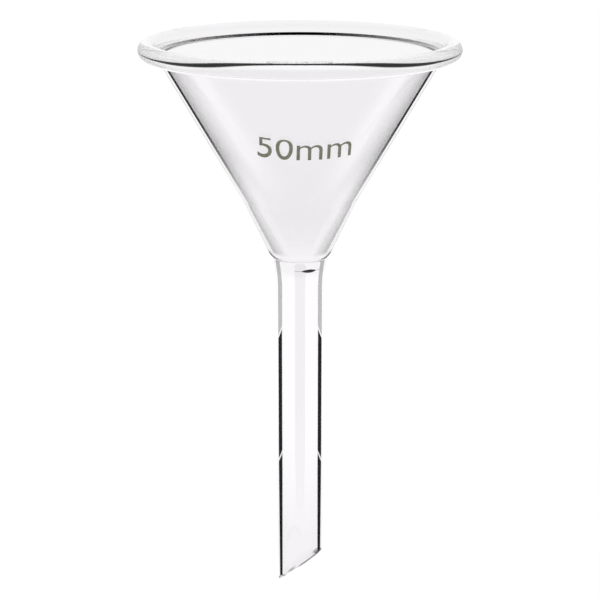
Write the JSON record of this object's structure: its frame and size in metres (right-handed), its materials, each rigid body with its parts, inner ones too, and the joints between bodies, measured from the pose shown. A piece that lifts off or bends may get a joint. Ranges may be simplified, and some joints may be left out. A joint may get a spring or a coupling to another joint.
{
  "type": "conical filter funnel",
  "caption": "Clear glass conical funnel with a beaded rim and a straight, slant-ended stem, for pouring and filtering liquids.",
  "frame": {"origin": "on the funnel's axis, at the top of the stem's straight wall, where the throat's fillet ends", "axes": "+Z along the axis, up out of the mouth, as the funnel is held in use; -X, turned 24 degrees towards +Y, is the long side of the slanted stem end"},
  "size_m": [0.05, 0.05, 0.0912],
  "materials": {
    "glass": "clear, fire-polished"
  },
  "bodies": {
    "root": {"funnel": "glass"}
  },
  "joints": []
}
